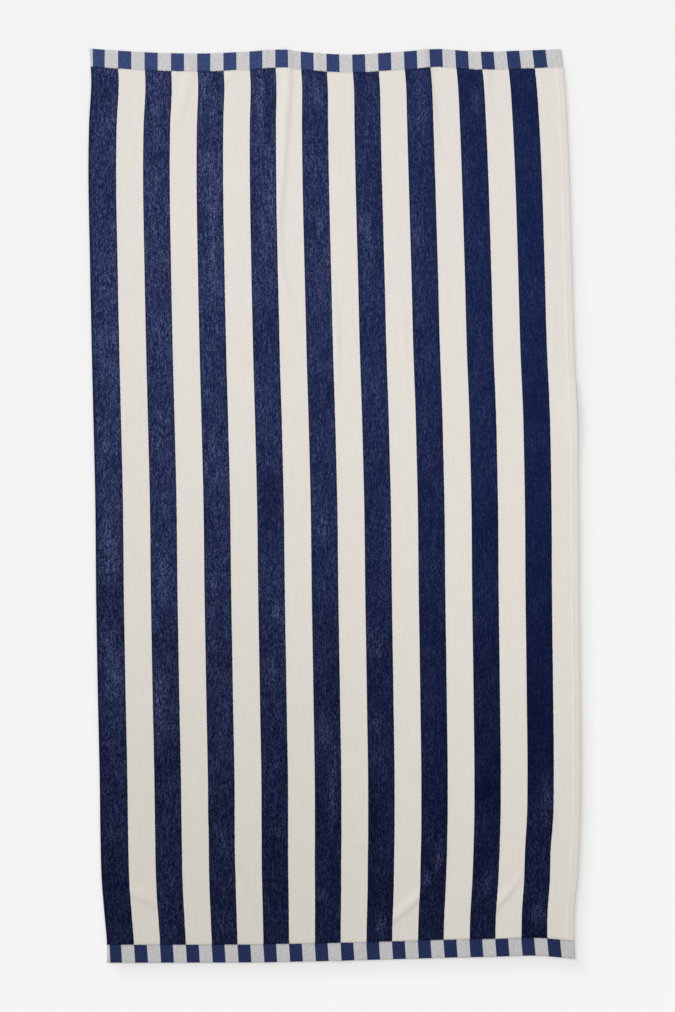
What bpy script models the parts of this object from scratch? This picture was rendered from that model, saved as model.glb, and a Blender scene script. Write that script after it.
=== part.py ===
"""A beach towel, laid out face up on a floor.

The towel is one cloth: lengthways stripes of short pile, a flat-woven band of blocks at each end that is
turned as the hem, and two narrow side hems. It lies nearly flat, but not quite: its outline wanders, its
ends are drawn in a little, and some low folds are left in it.

A place on the cloth is given by how far it is across from the left edge and how far it is up from the
lower edge, both on the flat cloth before it was laid down. Everything is in metres with +Z up, and the
sheet's middle is over the origin. The tables are in millimetres.
"""

from collections import namedtuple

import bmesh
import bpy
import numpy as np

MM = 0.001

# The flat cloth
CLOTH_WIDTH = 0.900
CLOTH_LENGTH = 1.700
STRIPE_COUNT = 18
STRIPE_WIDTH = 0.0498
STRIPES_START = 0.002
END_HEM = 0.0345
SIDE_HEM = 0.0145

# Thickness: the pile stands higher than the flat weave, and a turned side hem is the thickest
PILE_THICKNESS = 0.0030
END_HEM_THICKNESS = 0.0022
SIDE_HEM_THICKNESS = 0.0036
RIM_WIDTH = 0.002
RIM_SHARE = 0.5  # of the thickness, at the very edge, where the cloth rounds over

# How finely the sheet is divided
COLUMNS_PER_STRIPE = 8
HEM_ROWS = 3
SLANTED_ROW = 0.0095  # below the flat middle, where the folds slant
FLAT_ROW = 0.045
UPRIGHT_ROW = 0.018  # above it, where they run nearly straight up
FLAT_FROM, FLAT_TO = 0.36, 0.90
HEM_STEP = 0.001  # half the width of the step from the pile down to the flat weave
PATH_STEPS = 80
SHORTEST_RUN = 0.4  # of a step across the cloth, however steep the fold is there

# Where the two long edges lie, at heights up the cloth
SideEdge = namedtuple("SideEdge", "up left right")
SIDE_EDGES = (
    SideEdge(0, -422.7, 449.1),
    SideEdge(36, -422.8, 447.6),
    SideEdge(80, -426.5, 447.2),
    SideEdge(150, -432.3, 453.6),
    SideEdge(240, -435.0, 458.4),
    SideEdge(330, -436.1, 459.9),
    SideEdge(500, -439.8, 458.8),
    SideEdge(680, -442.9, 456.9),
    SideEdge(860, -444.6, 456.2),
    SideEdge(1040, -448.8, 452.5),
    SideEdge(1130, -450.9, 448.2),
    SideEdge(1300, -454.4, 443.3),
    SideEdge(1510, -457.1, 436.8),
    SideEdge(1560, -456.1, 434.6),
    SideEdge(1645, -452.1, 429.0),
    SideEdge(1700, -455.3, 422.5),
)

# Where the two short edges lie, at distances across the cloth
EndEdge = namedtuple("EndEdge", "across lower upper")
END_EDGES = (
    EndEdge(0, -849.1, 852.6),
    EndEdge(50, -849.3, 849.0),
    EndEdge(140, -849.1, 844.4),
    EndEdge(220, -849.0, 843.6),
    EndEdge(300, -848.4, 847.0),
    EndEdge(370, -847.2, 850.4),
    EndEdge(400, -846.6, 847.2),
    EndEdge(490, -844.4, 841.6),
    EndEdge(600, -841.4, 847.0),
    EndEdge(670, -839.5, 851.7),
    EndEdge(740, -838.2, 846.8),
    EndEdge(830, -836.4, 849.0),
    EndEdge(900, -842.0, 851.3),
)

# How far the stripes lie east of an even spread between the long edges, at heights up the cloth. The first
# number is for the middle. The second is for the left half, and the right half goes as far west.
Drift = namedtuple("Drift", "up middle halves")
DRIFTS = (
    Drift(0, -0.6, 0),
    Drift(36, 0.2, 0),
    Drift(89, 2.4, 0),
    Drift(164, 2.6, 0),
    Drift(313, 1.7, 0),
    Drift(611, 1.4, 0),
    Drift(835, 0.3, 0),
    Drift(984, -0.6, 0.2),
    Drift(1200, 0, 0),
    Drift(1357, 0, 0.3),
    Drift(1506, 0.2, 1.0),
    Drift(1600, 0, 1.4),
    Drift(1700, 0, 2.0),
)

# The folds. Each is a soft ridge along a smooth path of four points, given as (across, up). Its height is
# given at the path's start, middle and end, and it falls to the floor within west and east of its crest.
Fold = namedtuple("Fold", "name path heights west east")
FOLDS = (
    Fold("long upper crease", ((379, 1712), (366, 1520), (354, 1320), (390, 1140)), (3.4, 3.0, 0), 18, 13),
    Fold("upper left", ((194, 1710), (181, 1635), (168, 1580), (159, 1520)), (1.4, 2.0, 0), 20, 15),
    Fold("upper left short", ((243, 1636), (255, 1650), (270, 1661), (287, 1670)), (0, 2.0, 0), 12, 9),
    Fold("beside the crease", ((334, 1710), (327, 1640), (329, 1570), (334, 1495)), (1.5, 2.2, 0), 14, 12),
    Fold("upper middle", ((436, 1710), (432, 1650), (428, 1600), (424, 1545)), (1.2, 1.8, 0), 14, 12),
    Fold("upper right", ((641, 1710), (643, 1640), (650, 1560), (655, 1480)), (4.0, 3.0, 0), 20, 14),
    Fold("upper right short", ((756, 1710), (754, 1660), (750, 1620), (748, 1575)), (1.8, 1.6, 0), 20, 16),
    Fold("below the crease", ((451, 1285), (456, 1210), (457, 1140), (454, 1050)), (0, 2.2, 0), 16, 11),
    Fold("right edge kink", ((850, 1078), (868, 1076), (886, 1073), (912, 1068)), (0, 1.6, 2.6), 9, 12),
    Fold("right edge lift", ((905, 1080), (900, 1035), (900, 985), (905, 920)), (0, 4.0, 0), 40, 30),
    Fold("lower right slope", ((838, 345), (842, 295), (846, 240), (848, 185)), (0, 2.0, 0), 24, 18),
    Fold("lower long crease", ((498, 35), (575, 95), (630, 155), (663, 264)), (0.8, 4.2, 0), 18, 12),
    Fold("above the long crease", ((597, 188), (611, 215), (630, 246), (646, 292)), (0, 2.2, 0), 14, 10),
    Fold("lower right crease", ((716, 44), (748, 93), (777, 128), (797, 168)), (0.8, 3.0, 0), 16, 11),
    Fold("lower left crease", ((34, 152), (62, 130), (98, 110), (130, 80)), (0, 3.2, 0), 15, 20),
    Fold("left long slant", ((162, 345), (205, 268), (257, 168), (289, 66)), (0, 3.6, 0.6), 11, 16),
)

# Colours of the yarns, as linear red, green and blue, and how rough each surface is
Yarn = namedtuple("Yarn", "name colour roughness")
YARNS = (
    Yarn("navy_pile", (0.020, 0.028, 0.078), 0.95),
    Yarn("cream_pile", (0.750, 0.710, 0.655), 0.95),
    Yarn("blue_flat_weave", (0.042, 0.065, 0.162), 0.80),
    Yarn("pale_flat_weave", (0.600, 0.575, 0.600), 0.80),
)
NAVY, CREAM, BLUE, PALE = range(4)


def clear_scene():
    for item in list(bpy.data.objects):
        bpy.data.objects.remove(item, do_unlink=True)


def curve_through(stations, values, places):
    """A smooth curve through a table: between two stations it is a cubic whose slope at each station is the
    slope from the station before to the station after."""
    stations, values = np.asarray(stations, float), np.asarray(values, float)
    slopes = np.gradient(values, stations)
    i = np.clip(np.searchsorted(stations, places, side="right") - 1, 0, len(stations) - 2)
    span = stations[i + 1] - stations[i]
    t = (places - stations[i]) / span
    start = (1 + 2 * t) * (1 - t) ** 2 * values[i] + t * (1 - t) ** 2 * span * slopes[i]
    end = t * t * (3 - 2 * t) * values[i + 1] + t * t * (t - 1) * span * slopes[i + 1]
    return start + end


def fold_height(fold, across, up):
    """The height of one fold at each place: its height along the path, times a cosine hump across it."""
    steps = np.linspace(0, 1, PATH_STEPS)
    stations = np.linspace(0, 1, len(fold.path))
    path = [curve_through(stations, column, steps) * MM for column in zip(*fold.path)]
    along = np.gradient(path[0]), np.gradient(path[1])
    length = np.hypot(*along)
    east = np.sign(along[1]) * along[1] / length, -np.sign(along[1]) * along[0] / length
    heights = curve_through(np.linspace(0, 1, len(fold.heights)), fold.heights, steps) * MM

    gap = across[..., None] - path[0], up[..., None] - path[1]
    nearest = np.argmin(gap[0] ** 2 + gap[1] ** 2, axis=-1)
    to_point = [np.take_along_axis(side, nearest[..., None], axis=-1)[..., 0] for side in gap]
    off_crest = to_point[0] * east[0][nearest] + to_point[1] * east[1][nearest]
    reach = np.where(off_crest > 0, fold.east, fold.west) * MM
    hump = np.cos(np.clip(off_crest / reach, -1, 1) * np.pi / 2) ** 2
    return heights[nearest] * hump


def even_steps(start, end, longest):
    """Lines from start to end, evenly spaced, at most longest apart."""
    return np.linspace(start, end, int(np.ceil((end - start) / longest)) + 1)


def grid_lines():
    """The lines across and up the cloth: finest at its rims and at the steps from the pile to the hems."""
    columns = np.arange(STRIPE_COUNT * COLUMNS_PER_STRIPE + 1) * STRIPE_WIDTH / COLUMNS_PER_STRIPE
    across = np.concatenate([[0], STRIPES_START + columns, [CLOTH_WIDTH]])
    hem = np.concatenate([[0], np.linspace(RIM_WIDTH, END_HEM - HEM_STEP, HEM_ROWS)])
    lower = even_steps(END_HEM + HEM_STEP, FLAT_FROM, SLANTED_ROW)
    middle = even_steps(FLAT_FROM, FLAT_TO, FLAT_ROW)
    upper = even_steps(FLAT_TO, CLOTH_LENGTH - END_HEM - HEM_STEP, UPRIGHT_ROW)
    up = np.concatenate([hem, lower, middle[1:-1], upper, CLOTH_LENGTH - hem[::-1]])
    return across, up


def lay_out(across, up, heights):
    """Where each place of the cloth lies on the floor. It keeps its length over the folds: each step across
    the cloth is the sloping side of a triangle whose rise is the step's change of height, so the folds draw
    the stripes together. Each row is then fitted between the two side edges, and each column between the
    two end edges."""
    step, rise = np.diff(across, axis=0), np.diff(heights, axis=0)
    run = np.sqrt(np.maximum(step**2 - rise**2, (SHORTEST_RUN * step) ** 2))
    share = np.concatenate([np.zeros_like(run[:1]), np.cumsum(run, axis=0)])
    share /= share[-1]
    stations = [row.up * MM for row in SIDE_EDGES]
    left = curve_through(stations, [row.left * MM for row in SIDE_EDGES], up)
    right = curve_through(stations, [row.right * MM for row in SIDE_EDGES], up)
    stations = [row.across * MM for row in END_EDGES]
    lower = curve_through(stations, [row.lower * MM for row in END_EDGES], across)
    upper = curve_through(stations, [row.upper * MM for row in END_EDGES], across)
    stations = [row.up * MM for row in DRIFTS]
    middle = curve_through(stations, [row.middle * MM for row in DRIFTS], up)
    halves = curve_through(stations, [row.halves * MM for row in DRIFTS], up)
    drift = middle * 4 * share * (1 - share) + halves * np.sin(2 * np.pi * share)
    x = left + (right - left) * share + drift
    y = lower + (upper - lower) * up / CLOTH_LENGTH
    return x - (x.min() + x.max()) / 2, y - (y.min() + y.max()) / 2


def cloth_thickness(across, up):
    """The thickness at each place: the pile's, the end hem's or the side hem's, and less at the rim."""
    from_side = np.minimum(across, CLOTH_WIDTH - across)
    from_end = np.minimum(up, CLOTH_LENGTH - up)
    thickness = np.where(from_end < END_HEM, END_HEM_THICKNESS, PILE_THICKNESS)
    thickness += np.where(from_side < SIDE_HEM, SIDE_HEM_THICKNESS - PILE_THICKNESS, 0)
    return thickness * np.where(np.minimum(from_side, from_end) <= 0, RIM_SHARE, 1)


def yarn_of(across, up):
    """The yarn that shows at a place: stripes of pile, and blocks half as wide in the end bands."""
    stripe = np.floor((across - STRIPES_START) / STRIPE_WIDTH)
    half = np.floor((across - STRIPES_START) / (STRIPE_WIDTH / 2))
    stripe = np.clip(stripe, 0, STRIPE_COUNT - 1)
    half = np.clip(half, -1, 2 * STRIPE_COUNT - 1)
    in_band = np.minimum(up, CLOTH_LENGTH - up) < END_HEM
    pile = np.where(stripe % 2 == 0, NAVY, CREAM)
    band = np.where(half % 2 == 0, BLUE, PALE)
    return np.where(in_band, band, pile)


def level_triangles(heights):
    """Two triangles for each cell of the grid, split along the diagonal whose ends are nearer in height, so
    that a fold which slants across the cells stays smooth. The rows are numbers of grid points."""
    number = np.arange(heights.size).reshape(heights.shape)
    corners = number[:-1, :-1], number[1:, :-1], number[1:, 1:], number[:-1, 1:]
    a, b, c, d = (corner.ravel() for corner in corners)
    level = heights.ravel()
    along_ac = abs(level[a] - level[c]) <= abs(level[b] - level[d])
    first = np.where(along_ac, (a, b, c), (a, b, d))
    second = np.where(along_ac, (a, c, d), (b, c, d))
    return np.stack([first, second]).transpose(2, 0, 1).reshape(-1, 3)


def make_yarn_materials():
    materials = []
    for yarn in YARNS:
        material = bpy.data.materials.new(yarn.name)
        material.use_nodes = True
        shader = material.node_tree.nodes["Principled BSDF"]
        shader.inputs["Base Color"].default_value = (*yarn.colour, 1)
        shader.inputs["Roughness"].default_value = yarn.roughness
        shader.inputs["Metallic"].default_value = 0
        material.diffuse_color = (*yarn.colour, 1)
        materials.append(material)
    return materials


def make_towel():
    """The underside is a sheet that rests on the floor between the folds. It is extruded upwards by the
    cloth's thickness at each place, which makes the top and the rim."""
    column_lines, row_lines = grid_lines()
    across, up = np.meshgrid(column_lines, row_lines, indexing="ij")
    heights = sum(fold_height(fold, across, up) for fold in FOLDS)
    x, y = lay_out(across, up, heights)

    mesh = bpy.data.meshes.new("towel")
    points = np.stack([x, y, heights], axis=-1).reshape(-1, 3)
    mesh.from_pydata(points.tolist(), [], level_triangles(heights).tolist())
    middle_across = (across[:-1, :-1] + across[1:, 1:]) / 2
    middle_up = (up[:-1, :-1] + up[1:, 1:]) / 2
    yarns = np.repeat(yarn_of(middle_across, middle_up).ravel(), 2)
    mesh.polygons.foreach_set("material_index", yarns.astype(np.int32))

    sheet = bmesh.new()
    sheet.from_mesh(mesh)
    thickness = sheet.verts.layers.float.new("thickness")
    for vert, amount in zip(sheet.verts, cloth_thickness(across, up).ravel()):
        vert[thickness] = amount
    raised = bmesh.ops.extrude_face_region(sheet, geom=sheet.faces[:])
    for item in raised["geom"]:
        if isinstance(item, bmesh.types.BMVert):
            item.co.z += item[thickness]
    bmesh.ops.recalc_face_normals(sheet, faces=sheet.faces[:])
    sheet.to_mesh(mesh)
    sheet.free()

    for material in make_yarn_materials():
        mesh.materials.append(material)
    mesh.shade_smooth()
    towel = bpy.data.objects.new("towel", mesh)
    bpy.context.scene.collection.objects.link(towel)
    return towel


clear_scene()
make_towel()
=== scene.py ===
# %% [markdown]
# # A striped beach towel, laid out on a floor
#
# This lesson dresses a plain solid model of a beach towel. The solid is loaded first, as a fixed frame, so
# that everything made here lies where the solid lies. All lengths are in metres, +Z is up and the towel's
# length runs along Y.
#
# The towel is one cloth, woven in one go. Its pile stands in lengthways stripes of navy and cream, and each
# end has a flat-woven band of blue and pale blocks that is turned as the hem.

# %% The frame and the tools
from collections import namedtuple

import bpy
import numpy as np
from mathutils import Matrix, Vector


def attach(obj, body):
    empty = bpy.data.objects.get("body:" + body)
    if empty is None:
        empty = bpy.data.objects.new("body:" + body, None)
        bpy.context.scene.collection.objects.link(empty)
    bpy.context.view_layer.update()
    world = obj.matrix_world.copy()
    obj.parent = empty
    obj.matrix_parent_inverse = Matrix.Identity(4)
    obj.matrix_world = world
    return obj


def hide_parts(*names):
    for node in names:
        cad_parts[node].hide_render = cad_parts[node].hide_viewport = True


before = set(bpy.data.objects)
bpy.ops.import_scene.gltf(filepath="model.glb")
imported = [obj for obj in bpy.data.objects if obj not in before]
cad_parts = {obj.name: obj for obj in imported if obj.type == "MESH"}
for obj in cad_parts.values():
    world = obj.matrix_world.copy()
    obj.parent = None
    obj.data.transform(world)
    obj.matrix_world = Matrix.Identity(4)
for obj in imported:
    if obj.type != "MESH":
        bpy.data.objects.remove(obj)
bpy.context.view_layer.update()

MM = 0.001
chance = np.random.default_rng(27)

# %% [markdown]
# ## The cloth before it is laid down
#
# A place on the cloth is given by two numbers: how far it is across from the left edge, and how far it is up
# from the lower edge. The stripes, blocks, hems and stitches are all straight in these two numbers, however
# the cloth is laid later. That is why the pattern is drawn on the flat cloth and then carried along.

# %% Sizes of the flat cloth
CLOTH_WIDTH = 0.900
CLOTH_LENGTH = 1.700
STRIPE_COUNT = 18
STRIPE_WIDTH = 0.0498
STRIPES_START = 0.002
BLUE_SHARE = 0.50  # of a stripe's width that a blue block takes, and a pale block takes the rest
END_HEM = 0.0345
SIDE_HEM = 0.0145

PILE_THICKNESS = 0.0030
END_HEM_THICKNESS = 0.0022
SIDE_HEM_THICKNESS = 0.0036
STEP = 0.0009  # half the width of the slope from one thickness to the next
RIM_WIDTH = 0.0022  # over which the cloth's edge is rounded
RIM_SHARE = 0.35  # of the thickness that is left at the very edge

# %% [markdown]
# ## Where the edges lie
#
# A towel that is laid down by hand never has straight edges. These two tables say where the long and the
# short edges lie, in millimetres from the middle. They are the solid's own tables, so that the cloth made
# here and the solid have the same outline. A smooth curve through each table fills the gaps between its
# rows: a cubic between two rows, whose slope at a row is the slope from the row before to the row after.

# %% Tables of the edges, and a smooth curve through a table
SideEdge = namedtuple("SideEdge", "up left right")
SIDE_EDGES = [SideEdge(*row) for row in (
    (0, -422.7, 449.1),
    (36, -422.8, 447.6),
    (80, -426.5, 447.2),
    (150, -432.3, 453.6),
    (240, -435.0, 458.4),
    (330, -436.1, 459.9),
    (500, -439.8, 458.8),
    (680, -442.9, 456.9),
    (860, -444.6, 456.2),
    (1040, -448.8, 452.5),
    (1130, -450.9, 448.2),
    (1300, -454.4, 443.3),
    (1510, -457.1, 436.8),
    (1560, -456.1, 434.6),
    (1645, -452.1, 429.0),
    (1700, -455.3, 422.5),
)]
EndEdge = namedtuple("EndEdge", "across lower upper")
END_EDGES = [EndEdge(*row) for row in (
    (0, -849.1, 852.6),
    (50, -849.3, 849.0),
    (140, -849.1, 844.4),
    (220, -849.0, 843.6),
    (300, -848.4, 847.0),
    (370, -847.2, 850.4),
    (400, -846.6, 847.2),
    (490, -844.4, 841.6),
    (600, -841.4, 847.0),
    (670, -839.5, 851.7),
    (740, -838.2, 846.8),
    (830, -836.4, 849.0),
    (900, -842.0, 851.3),
)]
# How far the stripes lie east of an even spread between the long edges: the middle, and then the left
# half, while the right half goes as far west.
Drift = namedtuple("Drift", "up middle halves")
DRIFTS = [Drift(*row) for row in (
    (0, -0.6, 0),
    (36, 0.2, 0),
    (89, 2.4, 0),
    (164, 2.6, 0),
    (313, 1.7, 0),
    (611, 1.4, 0),
    (835, 0.3, 0),
    (984, -0.6, 0.2),
    (1200, 0, 0),
    (1357, 0, 0.3),
    (1506, 0.2, 1.0),
    (1600, 0, 1.4),
    (1700, 0, 2.0),
)]


def curve_through(stations, values, places):
    """Hermite's cubic: the two values and the two slopes at the ends of a span, each with its own weight."""
    stations, values = np.asarray(stations, float), np.asarray(values, float)
    slopes = np.gradient(values, stations)
    i = np.clip(np.searchsorted(stations, places, side="right") - 1, 0, len(stations) - 2)
    span = stations[i + 1] - stations[i]
    t = (places - stations[i]) / span
    start = (1 + 2 * t) * (1 - t) ** 2 * values[i] + t * (1 - t) ** 2 * span * slopes[i]
    end = t * t * (3 - 2 * t) * values[i + 1] + t * t * (t - 1) * span * slopes[i + 1]
    return start + end


def table_curves(table, station, columns, places):
    """Columns of a table in millimetres, each as a smooth curve in metres over the table's station column."""
    stations = [getattr(row, station) * MM for row in table]
    return [curve_through(stations, [getattr(row, name) * MM for row in table], places) for name in columns]


# %% [markdown]
# ## The folds
#
# Nearly flat cloth still holds low creases from how it was packed and put down. A cloth simulation would put
# them in places of its own, so they are listed one by one: each is a soft ridge along a path of four points.
# Its height is given at the start, middle and end of the path, and it falls to nothing within its own width
# to the west and to the east, so that one flank can be steeper than the other.

# %% The folds that the solid has too
# The lower long crease and the lower right crease are 0.9 and 0.7 mm lower here than in the solid.
Fold = namedtuple("Fold", "name path heights west east")
FOLDS = [Fold(*row) for row in (
    ("long upper crease", ((379, 1712), (366, 1520), (354, 1320), (390, 1140)), (3.4, 3.0, 0), 18, 13),
    ("upper left", ((194, 1710), (181, 1635), (168, 1580), (159, 1520)), (1.4, 2.0, 0), 20, 15),
    ("upper left short", ((243, 1636), (255, 1650), (270, 1661), (287, 1670)), (0, 2.0, 0), 12, 9),
    ("beside the crease", ((334, 1710), (327, 1640), (329, 1570), (334, 1495)), (1.5, 2.2, 0), 14, 12),
    ("upper middle", ((436, 1710), (432, 1650), (428, 1600), (424, 1545)), (1.2, 1.8, 0), 14, 12),
    ("upper right", ((641, 1710), (643, 1640), (650, 1560), (655, 1480)), (4.0, 3.0, 0), 20, 14),
    ("upper right short", ((756, 1710), (754, 1660), (750, 1620), (748, 1575)), (1.8, 1.6, 0), 20, 16),
    ("below the crease", ((451, 1285), (456, 1210), (457, 1140), (454, 1050)), (0, 2.2, 0), 16, 11),
    ("right edge kink", ((850, 1078), (868, 1076), (886, 1073), (912, 1068)), (0, 1.6, 2.6), 9, 12),
    ("right edge lift", ((905, 1080), (900, 1035), (900, 985), (905, 920)), (0, 4.0, 0), 40, 30),
    ("lower right slope", ((838, 345), (842, 295), (846, 240), (848, 185)), (0, 2.0, 0), 24, 18),
    ("lower long crease", ((498, 35), (575, 95), (630, 155), (663, 264)), (0.8, 3.3, 0), 18, 12),
    ("above the long crease", ((597, 188), (611, 215), (630, 246), (646, 292)), (0, 2.2, 0), 14, 10),
    ("lower right crease", ((716, 44), (748, 93), (777, 128), (797, 168)), (0.8, 2.3, 0), 16, 11),
    ("lower left crease", ((34, 152), (62, 130), (98, 110), (130, 80)), (0, 3.2, 0), 15, 20),
    ("left long slant", ((162, 345), (205, 268), (257, 168), (289, 66)), (0, 3.6, 0.6), 11, 16),
)]

# %% Fainter wrinkles, too low for the solid
WRINKLES = [Fold(*row) for row in (
    ("middle ridge", ((580, 1255), (583, 1200), (584, 1150), (587, 1095)), (0, 1.4, 0), 11, 11),
    ("press line at the left", ((3, 1514), (55, 1509), (105, 1504), (156, 1499)), (0.3, 0.6, 0), 7, 7),
    ("short line, upper right", ((646, 1596), (658, 1594), (671, 1593), (683, 1592)), (0, 0.6, 0), 7, 7),
    ("short line, lower middle", ((459, 219), (471, 218), (483, 217), (496, 216)), (0, 0.6, 0), 7, 7),
    ("middle wrinkle 1", ((556, 876), (567, 873), (578, 874), (592, 877)), (0, 0.5, 0), 8, 8),
    ("middle wrinkle 2", ((555, 826), (566, 829), (579, 828), (590, 824)), (0, 0.5, 0), 8, 8),
    ("middle wrinkle 3", ((557, 781), (568, 778), (580, 777), (591, 780)), (0, 0.4, 0), 8, 8),
    ("middle wrinkle 4", ((558, 716), (569, 718), (579, 717), (589, 713)), (0, 0.4, 0), 8, 8),
    ("arc 1", ((366, 1050), (376, 1055), (386, 1054), (394, 1048)), (0, 0.5, 0), 8, 8),
    ("arc 2", ((366, 845), (376, 849), (387, 849), (396, 845)), (0, 0.5, 0), 8, 8),
    ("slant", ((372, 540), (376, 552), (380, 564), (383, 578)), (0, 0.6, 0), 8, 8),
)]
PATH_STEPS = 80


def fold_height(fold, across, up):
    """The height along the path, times the square of a cosine that is 1 on the crest and 0 at the reach."""
    steps = np.linspace(0, 1, PATH_STEPS)
    stations = np.linspace(0, 1, len(fold.path))
    path = [curve_through(stations, column, steps) * MM for column in zip(*fold.path)]
    along = np.gradient(path[0]), np.gradient(path[1])
    length = np.hypot(*along)
    east = np.sign(along[1]) * along[1] / length, -np.sign(along[1]) * along[0] / length
    heights = curve_through(np.linspace(0, 1, len(fold.heights)), fold.heights, steps) * MM

    gap = across[..., None] - path[0], up[..., None] - path[1]
    nearest = np.argmin(gap[0] ** 2 + gap[1] ** 2, axis=-1)
    to_point = [np.take_along_axis(side, nearest[..., None], axis=-1)[..., 0] for side in gap]
    off_crest = to_point[0] * east[0][nearest] + to_point[1] * east[1][nearest]
    reach = np.where(off_crest > 0, fold.east, fold.west) * MM
    return heights[nearest] * np.cos(np.clip(off_crest / reach, -1, 1) * np.pi / 2) ** 2


# %% [markdown]
# ## The grid
#
# The sheet is a grid of small four-sided faces. Its lines are closest at the rounded rim and where the folds
# slant, and wider apart where the cloth is flat, because a face that shows nothing is wasted. The number of
# spaces is even each way, so that the unseen underside can use every second line.

# %% Lines across and up the cloth
RIM_LINES = (0, 0.0004, 0.0010, RIM_WIDTH)
ACROSS_SPACING = 0.0034
SLANTED_SPACING = 0.0046
FLAT_SPACING = 0.0080
UPRIGHT_SPACING = 0.0068
FLAT_FROM, FLAT_TO = 0.36, 0.90
HEM_SPACING = 0.0040


def even_steps(start, end, longest):
    """Lines from start to end, evenly spaced, at most longest apart."""
    return np.linspace(start, end, int(np.ceil((end - start) / longest)) + 1)


def joined(*parts):
    """Sorted lines without doubles; the widest space is halved once if their number of spaces is odd."""
    lines = np.unique(np.round(np.concatenate(parts), 7))
    if len(lines) % 2 == 0:
        widest = np.argmax(np.diff(lines))
        lines = np.insert(lines, widest + 1, (lines[widest] + lines[widest + 1]) / 2)
    return lines


side = np.concatenate([RIM_LINES, even_steps(RIM_WIDTH, SIDE_HEM - STEP, ACROSS_SPACING), [SIDE_HEM + STEP]])
across_lines = joined(side, even_steps(side[-1], CLOTH_WIDTH - side[-1], ACROSS_SPACING), CLOTH_WIDTH - side)
end = np.concatenate([RIM_LINES, even_steps(RIM_WIDTH, END_HEM - STEP, HEM_SPACING), [END_HEM + STEP]])
up_lines = joined(
    end,
    even_steps(end[-1], FLAT_FROM, SLANTED_SPACING),
    even_steps(FLAT_FROM, FLAT_TO, FLAT_SPACING),
    even_steps(FLAT_TO, CLOTH_LENGTH - end[-1], UPRIGHT_SPACING),
    CLOTH_LENGTH - end,
)
across, up = np.meshgrid(across_lines, up_lines, indexing="ij")
print("grid:", across.shape, "points")

# %% [markdown]
# ## Laying the cloth down
#
# Cloth hardly stretches, so where a fold lifts it, the cloth beside the fold is drawn in. Each small step
# across the cloth is the sloping side of a triangle whose rise is the change of height, and its run is what
# is left on the floor. The runs are added up and fitted between the two long edges.

# %% From the flat cloth to the floor
SHORTEST_RUN = 0.4  # of a step, however steep the fold is there


def lay_out(across, up, heights):
    """x is the sum of the runs, each the root of step squared less rise squared, fitted between the long
    edges, plus the drifts, a parabola and a sine across the cloth. y is even up each column."""
    step, rise = np.diff(across, axis=0), np.diff(heights, axis=0)
    run = np.sqrt(np.maximum(step**2 - rise**2, (SHORTEST_RUN * step) ** 2))
    share = np.concatenate([np.zeros_like(run[:1]), np.cumsum(run, axis=0)])
    share /= share[-1]
    left, right = table_curves(SIDE_EDGES, "up", ("left", "right"), up)
    lower, upper = table_curves(END_EDGES, "across", ("lower", "upper"), across)
    middle, halves = table_curves(DRIFTS, "up", ("middle", "halves"), up)
    drift = middle * 4 * share * (1 - share) + halves * np.sin(2 * np.pi * share)
    x = left + (right - left) * share + drift
    y = lower + (upper - lower) * up / CLOTH_LENGTH
    return x - (x.min() + x.max()) / 2, y - (y.min() + y.max()) / 2


shared = sum(fold_height(fold, across, up) for fold in FOLDS)
x, y = lay_out(across, up, shared)
heights = shared + sum(fold_height(fold, across, up) for fold in WRINKLES)
print("highest fold: %.1f mm" % (heights.max() / MM))

# %% [markdown]
# ## The thickness
#
# The pile stands higher than the flat weave, and a turned side hem is the thickest part. At the rim the
# cloth is folded back on itself, so its edge is round: its profile there is a quarter of a circle.

# %% Thickness at each place
UNDER_RIM = 0.15  # of the pile's thickness, by which the underside is rounded up at the edge


def slope_down(distance, border):
    """1 before the border and 0 after it, with a smooth cubic slope between."""
    t = np.clip((border + STEP - distance) / (2 * STEP), 0, 1)
    return t * t * (3 - 2 * t)


from_side = np.minimum(across, CLOTH_WIDTH - across)
from_end = np.minimum(up, CLOTH_LENGTH - up)
into_rim = np.clip(np.minimum(from_side, from_end) / RIM_WIDTH, 0, 1)
thickness = PILE_THICKNESS + (END_HEM_THICKNESS - PILE_THICKNESS) * slope_down(from_end, END_HEM)
thickness += (SIDE_HEM_THICKNESS - PILE_THICKNESS) * slope_down(from_side, SIDE_HEM)
thickness *= RIM_SHARE + (1 - RIM_SHARE) * np.sqrt(1 - (1 - into_rim) ** 2)
top = heights + thickness
under = heights + UNDER_RIM * PILE_THICKNESS * (1 - into_rim) ** 2
print("thickness: %.1f to %.1f mm" % (thickness.min() / MM, thickness.max() / MM))

# %% [markdown]
# ## Where the weave is pulled aside
#
# A stripe is not quite straight in real cloth. Sewing a hem or pressing a fold pulls the threads aside by a
# few millimetres. So the place that the pattern is read from is moved by soft ovals, each with its own place
# and size. The rubbed marks further on are ovals too, and one function adds up either table.

# %% Pulls, and adding up soft ovals
Oval = namedtuple("Oval", "across up half_width half_length lean strength")
PULLS = [Oval(*row) for row in (  # the strength is how many millimetres the weave is pulled to the west
    (900, 1700, 180, 170, 0, 2.2),
    (830, 195, 45, 55, 0, 3.4),
    (700, 0, 250, 60, 0, 1.8),
    (150, 0, 220, 60, 0, -0.9),
)]


def ovals_at(table, across, up):
    """Each oval is its strength times e to the power of minus the sum of two squares: how far the place is
    from the oval's leaning middle line over its half width, and how far up over its half length."""
    rows = np.array(table, float)
    middle_across, middle_up, half_width, half_length = rows[:, :4].T * MM
    lean, strength = rows[:, 4:].T
    off_up = up[:, None] - middle_up
    off_across = across[:, None] - middle_across - lean * off_up
    squares = (off_across / half_width) ** 2 + (off_up / half_length) ** 2
    return np.sum(strength * np.exp(-squares), axis=1)


def pattern_place(places):
    """The place on the cloth, plus the pulls across it."""
    return places + ovals_at(PULLS, *places.T)[:, None] * (MM, 0)


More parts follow.
